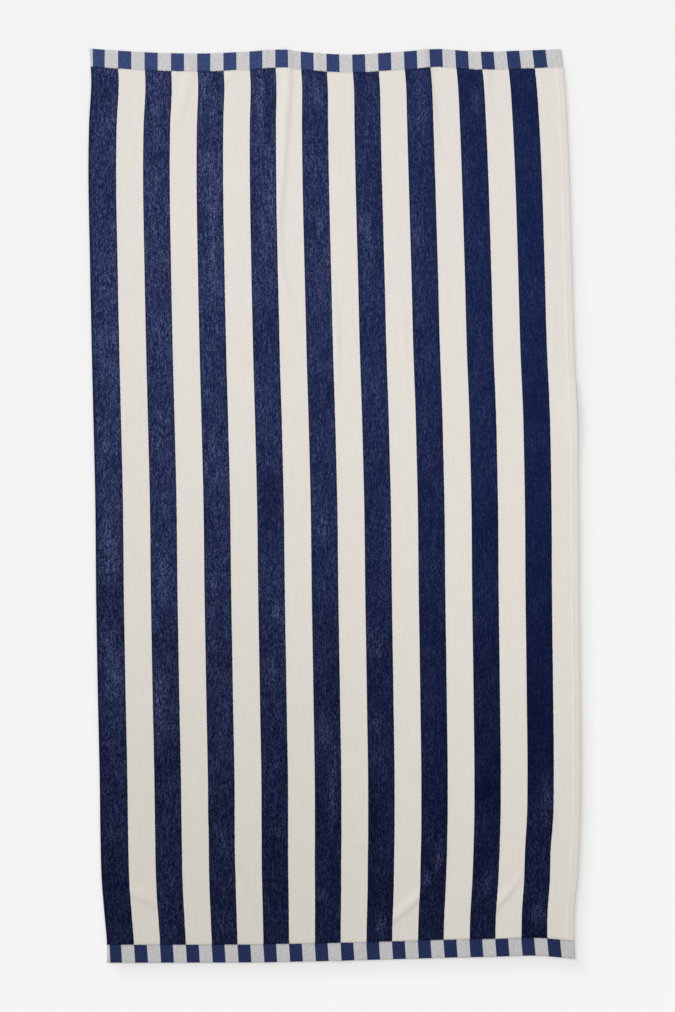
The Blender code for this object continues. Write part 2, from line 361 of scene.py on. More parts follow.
# %% [markdown]
# ## The mesh of the cloth
#
# The cloth is one closed shell: a fine top, a coarser underside, and a rim that joins them. Each rim face
# has two points on the underside and three on the top. Two maps go with it. The first holds the place on the
# flat cloth in metres, which the pattern is drawn on. The second lays the top and the underside side by side
# in a square without overlaps, for when the colours are baked to an image.

# %% Making the shell
TOP_SHARE = 0.66  # of the bake square's width
GAP = 0.006  # round the top and the underside in the bake square
RIM_IN_MAP = 0.0025  # width of the rim in the bake square, beside the top
AT_EDGE = 0.0001  # a share of the cloth this near to 0 or 1 is at an edge


def rows_of(*grids):
    """One row for each point of the grids, with its value in each of them."""
    return np.stack(grids, axis=-1).reshape(-1, len(grids))


def grid_faces(number):
    """Four points for each cell of a grid of point numbers, anticlockwise seen from above."""
    return rows_of(number[:-1, :-1], number[1:, :-1], number[1:, 1:], number[:-1, 1:])


def ring(number):
    """The border of a grid of point numbers, once round anticlockwise, from its first corner."""
    return np.concatenate([number[:-1, 0], number[-1, :-1], number[:0:-1, -1], number[0, :0:-1]])


def new_mesh(name, points, *faces):
    """A mesh from one row a point and, for each kind of face, one row of point numbers a face."""
    mesh = bpy.data.meshes.new(name)
    mesh.from_pydata(points.tolist(), [], sum((kind.tolist() for kind in faces), []))
    return mesh


def add_object(name, data):
    """An object in the scene, from a mesh, a lamp's data or a camera's."""
    thing = bpy.data.objects.new(name, data)
    bpy.context.scene.collection.objects.link(thing)
    return thing


def put_map(mesh, name, places):
    """A map of two numbers for each corner of each face."""
    mesh.uv_layers.new(name=name).uv.foreach_set("vector", np.asarray(places, np.float32).ravel())


def store_number(mesh, name, values):
    """A number for each point, which a material can read."""
    data = mesh.attributes.new(name, "FLOAT", "POINT").data
    data.foreach_set("value", np.asarray(values, np.float32).ravel())


top_number = np.arange(across.size).reshape(across.shape)
coarse = (slice(None, None, 2),) * 2
under_number = across.size + np.arange(across[coarse].size).reshape(across[coarse].shape)
points = np.concatenate([rows_of(x, y, top), rows_of(x[coarse], y[coarse], under[coarse])])
fine_ring, coarse_ring = ring(top_number), ring(under_number)
rim_faces = np.stack([
    coarse_ring, np.roll(coarse_ring, -1),
    np.roll(fine_ring, -2)[::2], np.roll(fine_ring, -1)[::2], fine_ring[::2],
], axis=-1)
top_faces, under_faces = grid_faces(top_number), grid_faces(under_number)[:, ::-1]

cloth_mesh = new_mesh("towel_cloth", points, top_faces, under_faces, rim_faces)
on_cloth_map = np.concatenate([rows_of(across, up), rows_of(across[coarse], up[coarse])])
corner_points = np.concatenate([top_faces.ravel(), under_faces.ravel(), rim_faces.ravel()])
put_map(cloth_mesh, "cloth", pattern_place(on_cloth_map)[corner_points])

share = on_cloth_map / (CLOTH_WIDTH, CLOTH_LENGTH)
is_top = np.arange(len(points)) < across.size
left = np.where(is_top, GAP, TOP_SHARE + GAP)
width = np.where(is_top, TOP_SHARE, 1 - TOP_SHARE) - 2 * GAP
bake_map = np.stack([left + width * share[:, 0], GAP + (1 - 2 * GAP) * share[:, 1]], axis=-1)
beside_top = np.stack([GAP + (TOP_SHARE - 2 * GAP) * share[:, 0], bake_map[:, 1]], axis=-1)
beside_top += RIM_IN_MAP * (np.where(share > 1 - AT_EDGE, 1, 0) - np.where(share < AT_EDGE, 1, 0))
rim_points = rim_faces.ravel()
rim_corners = np.where(is_top[rim_points][:, None], bake_map[rim_points], beside_top[rim_points])
put_map(cloth_mesh, "OFBake", np.concatenate([bake_map[corner_points[:-rim_points.size]], rim_corners]))
cloth_mesh.shade_smooth()
cloth = add_object("towel_cloth", cloth_mesh)
print("cloth:", len(cloth_mesh.vertices), "points,", len(cloth_mesh.polygons), "faces")

# %% [markdown]
# ## Rubbed places, and painted light and shade on the folds
#
# Folding and handling rub the pile. Where it is rubbed open, the paler ground yarn shows more, and where it
# is pressed smooth, less. Several marks lie along the folds, and there they paint the folds' light and shade
# on the navy. These marks are few and each has its own place, so they are a short table of soft ovals, added
# up as a number at each point of the mesh. The material adds it to the ground yarn that shows.

# %% Marks on the pile, and painted light and shade on the folds
RUBS_AND_FOLD_SHADE = [Oval(*row) for row in (  # a strength under 0 is a smooth place
    (210, 1607, 6, 50, 0, 0.70),
    (320, 1596, 6, 67, 0, 1.20),
    (430, 1625, 7, 24, -0.15, 1.00),
    (626, 1583, 8, 74, 0, 0.60),
    (731, 1605, 8, 26, 0, 0.60),
    (344, 1433, 5, 60, 0, 1.10),
    (230, 1370, 7, 105, 0, 0.90),
    (326, 1379, 10, 70, 0, 0.70),
    (431, 1381, 9, 22, 0, 0.80),
    (519, 1359, 12, 74, 0, 0.70),
    (614, 1351, 10, 19, 0, 0.60),
    (612, 1210, 9, 22, 0, 0.50),
    (23, 774, 15, 52, 0, 0.80),
    (127, 738, 11, 31, 0, 0.80),
    (217, 706, 10, 26, 0, 0.70),
    (423, 819, 8, 31, 0, 0.50),
    (542, 781, 6, 45, 0, 0.60),
    (28, 563, 12, 50, 0, 0.70),
    (335, 651, 11, 19, 0, 0.90),
    (349, 595, 5, 40, 0, 0.60),
    (326, 535, 11, 28, 0, 0.70),
    (519, 591, 10, 22, 0, 0.60),
    (708, 632, 7, 12, 0, 0.60),
    (113, 488, 10, 62, 0, 0.60),
    (417, 440, 8, 28, 0, 0.60),
    (517, 449, 9, 16, 0, 0.60),
    (434, 308, 7, 52, 0, 0.80),
    (836, 300, 9, 36, 0, 0.75),
    (822, 262, 11, 24, 0, 0.30),
    (229, 231, 6, 35, -0.35, 0.70),
    (634, 191, 6, 28, 0.10, 0.80),
    (613, 149, 6, 12, 0.10, 0.80),
    (726, 129, 7, 16, 0, 0.50),
    (416, 125, 10, 12, 0, 0.60),
    (830, 82, 14, 26, 0, 0.60),
    (526, 63, 11, 20, 0, 0.60),
    (21, 1517, 22, 17, 0, -0.49),
    (128, 1508, 22, 11, 0, -0.49),
    (331, 1219, 20, 32, 0, -0.35),
    (324, 880, 22, 54, 0, -0.35),
)]
rubs_and_fold_shade = np.where(is_top, ovals_at(RUBS_AND_FOLD_SHADE, *on_cloth_map.T), 0.0)
store_number(cloth_mesh, "rubs_and_fold_shade", rubs_and_fold_shade)
print("marks:", len(RUBS_AND_FOLD_SHADE), "from %.2f to %.2f" % (rubs_and_fold_shade.min(), rubs_and_fold_shade.max()))

# %% [markdown]
# ## A place on the laid cloth
#
# Stitches and loose loops sit on the cloth, so they need to know where a place on the flat cloth has gone.
# The grid already says so at its own points. Between them the four nearest points are blended.

# %% Finding a place on the top surface
def on_top(places_across, places_up):
    """The four grid points around each place, weighted by how near they are (bilinear blending)."""
    a = np.clip(places_across, 0, CLOTH_WIDTH)
    u = np.clip(places_up, 0, CLOTH_LENGTH)
    i = np.clip(np.searchsorted(across_lines, a, side="right") - 1, 0, len(across_lines) - 2)
    j = np.clip(np.searchsorted(up_lines, u, side="right") - 1, 0, len(up_lines) - 2)
    s = (a - across_lines[i]) / (across_lines[i + 1] - across_lines[i])
    t = (u - up_lines[j]) / (up_lines[j + 1] - up_lines[j])

    def blend(grid):
        near = grid[i, j] * (1 - s) + grid[i + 1, j] * s
        far = grid[i, j + 1] * (1 - s) + grid[i + 1, j + 1] * s
        return near * (1 - t) + far * t

    return np.stack([blend(x), blend(y), blend(top)], axis=-1)


# %% [markdown]
# ## Threads as tubes
#
# A stitch and a pile loop are both short pieces of yarn. Each is a small tube: a ring of points carried
# along a line. All the tubes of one piece are worked out together as one array of yarn, step along the yarn
# and point of the ring, and none has more than a few dozen faces, because there are hundreds of them.

# %% Tubes along many lines at once
RING_SIDES = 5


def yarn_tubes(name, centres, sideways, radius, cloth_places):
    """centres has one row a yarn, then its steps. A ring's point is the centre, plus radius times the cosine
    of its turn sideways, plus radius times the sine of its turn at right angles to the yarn and to that."""
    along = np.gradient(centres, axis=1)
    along /= np.linalg.norm(along, axis=-1, keepdims=True)
    sideways = sideways - along * np.sum(sideways * along, axis=-1, keepdims=True)
    sideways /= np.linalg.norm(sideways, axis=-1, keepdims=True)
    upright = np.cross(sideways, along)
    turn = np.arange(RING_SIDES) * 2 * np.pi / RING_SIDES
    ring_points = centres[:, :, None] + radius[..., None, None] * (
        np.cos(turn)[:, None] * sideways[:, :, None] + np.sin(turn)[:, None] * upright[:, :, None]
    )
    yarns, steps = centres.shape[:2]
    number = np.arange(yarns * steps * RING_SIDES).reshape(yarns, steps, RING_SIDES)
    ahead = np.roll(number, -1, axis=2)
    walls = rows_of(number[:, :-1], ahead[:, :-1], ahead[:, 1:], number[:, 1:])
    caps = np.concatenate([number[:, 0, ::-1], number[:, -1]])
    mesh = new_mesh(name, ring_points.reshape(-1, 3), walls, caps)
    places = np.repeat(pattern_place(cloth_places.reshape(-1, 2)), RING_SIDES, axis=0)
    put_map(mesh, "cloth", places[np.concatenate([walls.ravel(), caps.ravel()])])
    mesh.shade_smooth()
    print(name + ":", yarns, "yarns,", len(mesh.polygons), "faces")
    return add_object(name, mesh)


# %% [markdown]
# ## The stitches of the hems
#
# Each side hem is sewn down with two rows of stitches, and each end hem with one row just outside the pile.
# A stitch goes into the cloth at both ends and lies on it between, so its line is a low arch whose ends are
# sunk. A pattern in the material would do from far away, but real thread catches the light from any side.

# %% Rows of stitches
THREAD_RADIUS = 0.00035
STITCH_SHARE = 0.72  # of the pitch that the thread shows on top
SIDE_PITCH = 0.0052
END_PITCH = 0.0040
SIDE_ROWS = (0.0050, 0.0108)  # from the long edge
END_ROW = 0.0325  # from the short edge
END_ROW_GAP = 0.003  # from the long edge to the end of an end row
STITCH_STEPS = 6
SINK = 0.0006  # how much lower a stitch's ends are than its middle
TAPER = 0.35  # of the thread's radius, by which a stitch is thinner at its ends


def row_of_stitches(start, finish, pitch):
    """Centre lines of the stitches from start to finish on the flat cloth, as (across, up) and as points."""
    start, finish = np.array(start), np.array(finish)
    count = int(np.linalg.norm(finish - start) / pitch)
    first = (np.arange(count) + 0.5 - STITCH_SHARE / 2)[:, None] / count
    t = np.linspace(0, 1, STITCH_STEPS)
    places = start + (finish - start) * (first + STITCH_SHARE * t / count)[..., None]
    centres = on_top(places[..., 0], places[..., 1])
    centres[..., 2] += THREAD_RADIUS * 0.5 - SINK * (2 * t - 1) ** 4
    return places, centres


def stitches(name, rows, pitch, sideways):
    """All rows as one piece; a stitch thins with the square of the distance from its middle."""
    made = [row_of_stitches(start, finish, pitch) for start, finish in rows]
    places, centres = (np.concatenate(part) for part in zip(*made))
    t = np.linspace(-1, 1, STITCH_STEPS)
    radius = np.broadcast_to(THREAD_RADIUS * (1 - TAPER * t**2), centres.shape[:2])
    return yarn_tubes(name, centres, np.broadcast_to(sideways, centres.shape), radius, places)


side_stitch_rows = [
    ((a, END_HEM), (a, CLOTH_LENGTH - END_HEM)) for d in SIDE_ROWS for a in (d, CLOTH_WIDTH - d)
]
side_stitches = stitches("side_hem_stitches", side_stitch_rows, SIDE_PITCH, (1.0, 0, 0))
end_stitch_rows = [
    ((END_ROW_GAP, u), (CLOTH_WIDTH - END_ROW_GAP, u)) for u in (END_ROW, CLOTH_LENGTH - END_ROW)
]
end_stitches = stitches("end_hem_stitches", end_stitch_rows, END_PITCH, (0, 1.0, 0))

# %% [markdown]
# ## Loops at the pile's border
#
# Pile is made of small loops. In the middle of the cloth they can't be told apart, but where the pile ends
# they lean out over the flat weave and make its border uneven. Each loop there is half a ring of yarn that
# leans away from the pile, with its own size, lean and place.

# %% Border loops
LOOP_SPACING = 0.0019
LOOP_SHIFT = 0.4  # of the spacing, by which a foot may be off its even place
LOOP_RADIUS = 0.00035
LOOP_STEPS = 7
LOOP_WIDTH = (0.0009, 0.0016)
LOOP_REACH = (0.0010, 0.0022)
LOOP_LEAN = (0.25, 0.7)
LOOP_RISE = 0.0012  # how much a lean of 1 lifts its middle
LOOP_SAG = 0.0008  # how far its middle hangs down before that
FOOT_DEPTH = 0.0004  # below the pile's top
FOOT_INSIDE = 0.002  # how far inside the pile its height and its colour are taken


def border_loops(name):
    """A loop's line is its foot, plus width times cosine along the border, plus reach times sine outwards."""
    count = int(CLOTH_WIDTH / LOOP_SPACING)
    foot_across = np.tile((np.arange(count) + 0.5) * CLOTH_WIDTH / count, 2)
    foot_across = foot_across + chance.uniform(-LOOP_SHIFT, LOOP_SHIFT, 2 * count) * LOOP_SPACING
    outwards = np.repeat((-1.0, 1.0), count)
    foot_up = np.where(outwards < 0, END_HEM + STEP, CLOTH_LENGTH - END_HEM - STEP)
    width, reach, lean = (
        chance.uniform(*span, 2 * count)[:, None] for span in (LOOP_WIDTH, LOOP_REACH, LOOP_LEAN)
    )
    turn = np.linspace(0, np.pi, LOOP_STEPS)
    centres = on_top(
        foot_across[:, None] + width * np.cos(turn),
        foot_up[:, None] + outwards[:, None] * reach * np.sin(turn),
    )
    inside = np.stack([foot_across, foot_up - outwards * FOOT_INSIDE], axis=-1)
    pile_top = on_top(*inside.T)[:, None, 2]
    arch = pile_top - LOOP_RADIUS - FOOT_DEPTH + (lean * LOOP_RISE - LOOP_SAG) * np.sin(turn)
    centres[..., 2] = np.maximum(arch, centres[..., 2] + 0.5 * LOOP_RADIUS)
    radius = np.full(centres.shape[:2], LOOP_RADIUS)
    sideways = np.broadcast_to((0, 0, 1.0), centres.shape)
    return yarn_tubes(name, centres, sideways, radius, np.repeat(inside[:, None], LOOP_STEPS, axis=1))


loops = border_loops("pile_border_loops")

# %% [markdown]
# ## Helpers for materials
#
# A node group is an effect with named inputs and outputs that several materials can use. These helpers make
# a group, put nodes in it and join them. A Value stands for what a node puts out. Adding or multiplying
# Values makes the Math nodes, so that each effect below reads like its formula.

# %% Node helpers
class Value:
    """What a node puts out: a number, a place or a colour. A formula of Values makes its Math nodes."""

    def __init__(self, tree, socket):
        self.tree, self.socket = tree, socket

    def __add__(self, other):
        return maths("ADD", self, other)

    def __sub__(self, other):
        return maths("SUBTRACT", self, other)

    def __rsub__(self, other):
        return maths("SUBTRACT", other, self)

    def __mul__(self, other):
        return maths("MULTIPLY", self, other)

    def __truediv__(self, other):
        return maths("DIVIDE", self, other)

    def __rtruediv__(self, other):
        return maths("DIVIDE", other, self)

    def __pow__(self, other):
        return maths("POWER", self, other)

    def __abs__(self):
        return maths("ABSOLUTE", self)


def feed(socket, value):
    """Links a socket to a Value, or sets it to a number or a colour."""
    if isinstance(value, Value):
        value.tree.links.new(value.socket, socket)
    else:
        socket.default_value = value


def feed_all(node, **values):
    """Feeds a node's inputs by name. A name's underscores stand for spaces."""
    for name, value in values.items():
        feed(node.inputs[name.replace("_", " ")], value)


def maths(operation, *values):
    """One Math node; at least one of its values is a Value."""
    tree = next(value.tree for value in values if isinstance(value, Value))
    node = tree.nodes.new("ShaderNodeMath")
    node.operation = operation
    for socket, value in zip(node.inputs, values):
        feed(socket, value)
    return Value(tree, node.outputs[0])


def new_group(name, inputs, outputs):
    """A shader node group, its inputs as Values and its output node. The inputs are given as (name, kind,
    value) and the outputs, which are numbers, as names."""
    group = bpy.data.node_groups.new(name, "ShaderNodeTree")
    for label, kind, value in inputs:
        socket = group.interface.new_socket(name=label, in_out="INPUT", socket_type="NodeSocket" + kind)
        if value is not None:
            socket.default_value = value
    for label in outputs:
        group.interface.new_socket(name=label, in_out="OUTPUT", socket_type="NodeSocketFloat")
    given = [Value(group, socket) for socket in group.nodes.new("NodeGroupInput").outputs if socket.name]
    return group, given, group.nodes.new("NodeGroupOutput")


def place_group(group, place, **values):
    """Puts a group that reads the cloth's place in a material, and gives its outputs by name."""
    node = place.tree.nodes.new("ShaderNodeGroup")
    node.node_tree = group
    feed_all(node, Cloth=place, **values)
    return {socket.name: Value(place.tree, socket) for socket in node.outputs}


def smooth_step(value, low, high, to_low=0.0, to_high=1.0):
    """A smooth slope from to_low to to_high while the value goes from low to high."""
    node = value.tree.nodes.new("ShaderNodeMapRange")
    node.interpolation_type = "SMOOTHSTEP"
    feed_all(node, Value=value, From_Min=low, From_Max=high, To_Min=to_low, To_Max=to_high)
    return Value(value.tree, node.outputs[0])


def spread(value, low, high):
    """A straight slope from 0 to 1 while the value goes from low to high."""
    node = value.tree.nodes.new("ShaderNodeMapRange")
    feed_all(node, Value=value, From_Min=low, From_Max=high)
    return Value(value.tree, node.outputs[0])


def parts_of(place):
    """How far a place is across the cloth and up it."""
    split = place.tree.nodes.new("ShaderNodeSeparateXYZ")
    feed(split.inputs[0], place)
    return Value(place.tree, split.outputs[0]), Value(place.tree, split.outputs[1])


def noise(a, u, detail=2.0, roughness=0.5):
    """Blender's noise in two dimensions, 0 to 1, for a place whose unit is one grain."""
    join = a.tree.nodes.new("ShaderNodeCombineXYZ")
    feed_all(join, X=a, Y=u)
    node = a.tree.nodes.new("ShaderNodeTexNoise")
    node.noise_dimensions = "2D"
    feed_all(node, Vector=Value(a.tree, join.outputs[0]), Scale=1.0, Detail=detail, Roughness=roughness)
    return Value(a.tree, node.outputs[0])


def grains(place, width, length, offset=0.0, **kind):
    """Noise whose grain has a width across and a length up, moved across by an offset of so many grains."""
    a, u = parts_of(place)
    return noise(a / width + offset, u / length, **kind)


def blend_colours(factor, first, second):
    """The first colour where the factor is 0, and the second where it is 1."""
    node = factor.tree.nodes.new("ShaderNodeMix")
    node.data_type = "RGBA"
    feed_all(node, Factor=factor)
    for label, value in (("A", first), ("B", second)):
        socket = next(s for s in node.inputs if s.name == label and s.type == "RGBA")
        feed(socket, value if isinstance(value, Value) else (*value, 1))
    return Value(factor.tree, next(s for s in node.outputs if s.type == "RGBA"))


def shaded(colour, mask, lowest):
    """The colour times lowest where the mask is 0, and unchanged where it is 1."""
    node = mask.tree.nodes.new("ShaderNodeHueSaturation")
    feed_all(node, Color=colour, Value=smooth_step(mask, 0.0, 1.0, lowest, 1.0))
    return Value(mask.tree, node.outputs[0])


# %% [markdown]
# ## The woven pattern
#
# Where each yarn shows is decided by the loom, so it is worked out from the place on the flat cloth. The
# stripes are a zigzag: its value at a place is the distance to the nearest stripe's middle, and comparing
# that with half a stripe's width gives the distance to the border. The blocks are the same with half the
# pitch. Loops never end in a straight line, so a little noise moves the borders.

# %% Group: woven pattern
BORDER_SOFTNESS = 0.0006
BLOCK_SOFTNESS = 0.0004
BAND_SOFTNESS = 0.0005
BORDER_GRAIN = (0.02, 0.0035)  # of the noise in the stripes' borders, across and up
BAND_GRAIN = (0.0016, 0.02)  # and in the end bands' borders
# Painted shade of the groove at the border of each navy stripe:
SHADE_INSIDE = 0.0006  # how far inside a navy stripe its border shade is darkest
SHADE_REACH = 0.0022  # and how far from there it reaches
LOW_LEAN = 0.07  # how far the blocks shift right for each metre down the lower band
HIGH_LEAN = 0.075  # and up the upper band
LEAN_BACK = (0.66, 0.88, 0.0, 0.08)  # less than that: by 0 at 0.66 m across and by 0.08 from 0.88 m on
PALE_MARGIN = 0.0043  # pale edge at both ends of a band, where the side hem is turned, next to the pile
MARGIN_GROWTH = 0.05  # how much wider it gets for each metre away from the pile
BLOCK_START = 0.0006  # how far the blocks begin before their stripes
STRIPES_END = STRIPES_START + STRIPE_COUNT * STRIPE_WIDTH


def make_pattern_group():
    """Masks of the navy stripes, the blue blocks and the end bands, and of a painted shade at the navy's
    borders.
    """
    tree, (place, raggedness), result = new_group(
        "woven pattern",
        [("Cloth", "Vector", None), ("Raggedness", "Float", 0.001)],
        ["Navy", "Blue", "End band", "Border shade"],
    )
    a, u = parts_of(place)
    moved = a + (grains(place, *BORDER_GRAIN) - 0.5) * raggedness
    held = maths("MAXIMUM", moved, STRIPES_START + 2 * BORDER_SOFTNESS)
    held = maths("MINIMUM", held, STRIPES_END - 2 * BORDER_SOFTNESS)
    to_navy = maths("PINGPONG", held - (STRIPES_START + STRIPE_WIDTH / 2), STRIPE_WIDTH)
    into_navy = STRIPE_WIDTH / 2 - to_navy

    low_part = maths("MAXIMUM", END_HEM - u, 0.0)
    high_part = maths("MAXIMUM", u - (CLOTH_LENGTH - END_HEM), 0.0)
    lean = high_part * HIGH_LEAN + low_part * LOW_LEAN
    leaning = a - lean + (smooth_step(a, *LEAN_BACK) * high_part + BLOCK_START)
    leaning = maths("MINIMUM", leaning, STRIPES_END - MM)
    blue_half = STRIPE_WIDTH * BLUE_SHARE / 2
    to_blue = maths("PINGPONG", leaning - (STRIPES_START + blue_half), STRIPE_WIDTH / 2)
    growth = (low_part + high_part) * MARGIN_GROWTH
    off_margin = CLOTH_WIDTH / 2 - PALE_MARGIN - growth - abs(a - CLOTH_WIDTH / 2)
    into_blue = maths("MINIMUM", blue_half - to_blue, off_margin)

    ragged = (grains(place, *BAND_GRAIN) - 0.5) * raggedness
    past = abs(u - CLOTH_LENGTH / 2) + ragged - (CLOTH_LENGTH / 2 - END_HEM)
    feed_all(
        result,
        Navy=smooth_step(into_navy, -BORDER_SOFTNESS, BORDER_SOFTNESS),
        Blue=smooth_step(into_blue, -BLOCK_SOFTNESS, BLOCK_SOFTNESS),
        End_band=smooth_step(past, -BAND_SOFTNESS, BAND_SOFTNESS),
        Border_shade=smooth_step(abs(into_navy - SHADE_INSIDE), SHADE_REACH, 0.0),
    )
    return tree


woven_pattern = make_pattern_group()

# %% [markdown]
# ## The pile
#
# Pile is thousands of loops that stand in columns along the cloth. From a few metres away only their tone is
# seen: a run of loops in one column shows more or less of the paler ground yarn, and the column beside it
# does something else. Plain noise would give round spots. So the place across is first cut into columns of
# slightly uneven width, and each column reads its own line of noise, which makes short upright dashes.

# %% Group: short pile
WANDER_GRAIN = (0.005, 0.018, 4.0)  # of the columns' own wander: across, up and offset
COLUMN_APART = 7.31  # grains between the lines of noise that two neighbouring columns read
LONG_COLUMN = 2.2  # width of a long run, in columns
LONG_RUN = 5.0  # its length, in runs
LONG_OFFSET = 37.0
DASH_SPREAD = (0.36, 0.64)
LONG_SPREAD = (0.25, 0.75)
RIDGE_HEIGHT = 0.35  # share of the pile's relief that each column has, and the rest is the dashes'


def make_pile_group():
    """Short dashes and long runs of tone, and the relief that goes with them."""
    tree, (place, column, run, unevenness), result = new_group(
        "short pile",
        [
            ("Cloth", "Vector", None),
            ("Column", "Float", 0.0014),
            ("Run", "Float", 0.0090),
            ("Unevenness", "Float", 0.0012),
        ],
        ["Dashes", "Long runs", "Height"],
    )
    a, u = parts_of(place)
    counted = (a + (grains(place, *WANDER_GRAIN) - 0.5) * unevenness) / column
    line = maths("FLOOR", counted) * COLUMN_APART + 0.5
    dashes = noise(line, u / run, detail=3.0, roughness=0.9)
    ridge = maths("SINE", maths("FRACT", counted) * np.pi)
    long_grain = column * LONG_COLUMN, run * LONG_RUN, LONG_OFFSET
    long_runs = grains(place, *long_grain, detail=3.0, roughness=0.6)
    feed_all(
        result,
        Dashes=spread(dashes, *DASH_SPREAD),
        Long_runs=spread(long_runs, *LONG_SPREAD),
        Height=ridge * RIDGE_HEIGHT + dashes * (1 - RIDGE_HEIGHT),
    )
    return tree


short_pile = make_pile_group()

# %% [markdown]
# ## The flat weave
#
# The end bands have no pile. Their yarns cross one over one, which shows as fine ribs across the cloth, with
# a slight difference from yarn to yarn. A sine wave makes the ribs, and noise stretched across the cloth
# makes the uneven yarns.

# %% Group: flat weave
YARN_GRAIN = 0.0060  # length over which a yarn keeps its tone
YARN_OFFSET = 5.0
YARN_SPREAD = (0.25, 0.75)
RIB_HEIGHT = 0.30
CROSSING_HEIGHT = 0.20


def make_weave_group():
    """Tones of single yarns, and the relief of the ribs, which is a sine, and of the crossings."""
    tree, (place, rib, warp), result = new_group(
        "flat weave",
        [("Cloth", "Vector", None), ("Rib", "Float", 0.0022), ("Warp", "Float", 0.0014)],
        ["Yarns", "Height"],
    )
    a, u = parts_of(place)
    ribs = maths("SINE", u / rib * (2 * np.pi))
    crossing = ribs * maths("SINE", a / warp * (2 * np.pi))
    uneven = grains(place, YARN_GRAIN, rib, YARN_OFFSET, detail=2.0, roughness=0.6)
    feed_all(
        result,
        Yarns=spread(uneven, *YARN_SPREAD),
        Height=ribs * RIB_HEIGHT + crossing * CROSSING_HEIGHT + 0.5,
    )
    return tree


flat_weave = make_weave_group()

# %% [markdown]
# ## How the nap lies, and the painted sheen
#
# Pile leans, and it looks lighter where it leans towards the light and where the ground shows through. Here
# that
# look is painted sheen: the dark stripes are painted lightest at the upper left and deepest at the lower
# right, and the blue blocks and the cream a little lighter at the upper left, with soft cloudy patches of
# tone over that.
# The cream is also painted a little lighter at the lower right, which is painted light. The group puts out
# one mask for each of these, from slopes over the whole cloth and wide noise. A slope is given as its start
# and end in metres, and its values there where they are not 0 and 1.

# %% Group: nap and painted sheen
# Slopes of the painted sheen: the navy and the cream are painted lighter towards the upper left.
PAINTED_SHEEN_UP = (0.0, 1.3)
PAINTED_SHEEN_ACROSS = (0.3, 0.9, 0.85, 1.0)
# The ground yarn's streaks are real; their fall from the upper left to the lower right goes with the painted
# sheen.
SHOW_AND_SHEEN_ACROSS = (0.05, 1.05, 1.12, 0.18)
SHOW_AND_SHEEN_UP = (0.00, 1.40, 0.42, 1.0)
SHOW_LOW_END = (0.22, 0.42, 0.33, 0.0)
# Slope of the blue blocks' painted sheen, lighter towards the upper left.
BLUE_SHEEN_ACROSS = (0.2, 0.9, 1.0, 0.35)
# Where the cream is painted lighter at the lower right: painted light.
CREAM_LIGHT_ACROSS = (0.25, 0.85)
CREAM_LIGHT_UP = (0.55, 1.45, 1.0, 0.0)
PATCH_LENGTH = 3.0  # of a small cloud, in its widths
PATCH_OFFSET = 3.0
WIDE_GRAIN = (0.07, 0.11, 9.0)  # of the wide clouds: across, up and offset
CLOUD_LIGHT = 0.5  # how much the wide clouds do to the lightness
CLOUD_SHOW = 1.1  # and both kinds to the ground that shows through


def make_nap_and_sheen_group():
    """One mask for each way in which the nap and the painted sheen and light change the tone over the cloth.
    """
    tree, (place, patch, cloudiness), result = new_group(
        "nap and painted sheen",
        [("Cloth", "Vector", None), ("Patch", "Float", 0.013), ("Cloudiness", "Float", 1.0)],
        ["Lightness", "Show-through and sheen", "Blue fading", "Cream turn"],
    )
    a, u = parts_of(place)
    clouds = grains(place, patch, patch * PATCH_LENGTH, PATCH_OFFSET, detail=3.0, roughness=0.6)
    clouds = (clouds - 0.5) * cloudiness
    wide_clouds = (grains(place, *WIDE_GRAIN) - 0.5) * cloudiness
    painted_sheen_up = smooth_step(u, *PAINTED_SHEEN_UP)
    show = smooth_step(a, *SHOW_AND_SHEEN_ACROSS) * smooth_step(u, *SHOW_AND_SHEEN_UP)
    show = maths("MAXIMUM", show, smooth_step(u, *SHOW_LOW_END))
    feed(result.inputs["Show-through and sheen"], show * ((clouds + wide_clouds) * CLOUD_SHOW + 1.0))
    feed_all(
        result,
        Lightness=painted_sheen_up * smooth_step(a, *PAINTED_SHEEN_ACROSS) + wide_clouds * CLOUD_LIGHT,
        Blue_fading=painted_sheen_up * smooth_step(a, *BLUE_SHEEN_ACROSS),
        Cream_turn=smooth_step(a, *CREAM_LIGHT_ACROSS) * smooth_step(u, *CREAM_LIGHT_UP),
    )
    return tree


nap_and_sheen_masks = make_nap_and_sheen_group()

# %% [markdown]
# ## The cloth's material
#
# Pile and flat weave are one cloth. So one material draws the colours of both over the whole sheet and lets
# the pattern choose between them, and their borders can be as ragged as real ones. Cotton is rough and has a
# soft sheen where it is seen edge-on. The back has a material of its own from the same groups: the same
# stripes with less show-through.

# %% Striped cotton
# The step from NAVY_DEEP at the lower right to NAVY_LIGHT at the upper left is painted sheen.
NAVY_DEEP = (0.0012, 0.0028, 0.0215)
NAVY_LIGHT = (0.0044, 0.0112, 0.0570)
SHOW_THROUGH = (0.0900, 0.1120, 0.2300)
LEAST_SHOW = 0.04  # of the ground yarn, where the pile is pressed smooth
GROUND_FALL = 2.4  # the higher, the fewer and brighter the dashes of ground yarn
DASH_SHARE = 0.7  # of the dashes in the ground yarn that shows, and the rest is the long runs'
# A painted shadow colour, for the groove at the navy's borders.
NAVY_BORDER_SHADOW = (0.0030, 0.0050, 0.0200)
BORDER_SHADOW_SHARE = 0.7  # how far the navy goes to that colour at its borders
# CREAM_HIGH, at the upper left, is painted sheen over CREAM_LOW.
CREAM_LOW = (0.735, 0.697, 0.628)
CREAM_HIGH = (0.755, 0.720, 0.672)
# The cream painted lighter at the lower right: painted light.
CREAM_PAINTED_LIGHT = (0.792, 0.752, 0.690)
CREAM_SHADE = 0.965  # of the cream's own tone, in the darker runs
CREAM_COLUMN = 0.0026
CREAM_RUN = 0.0110
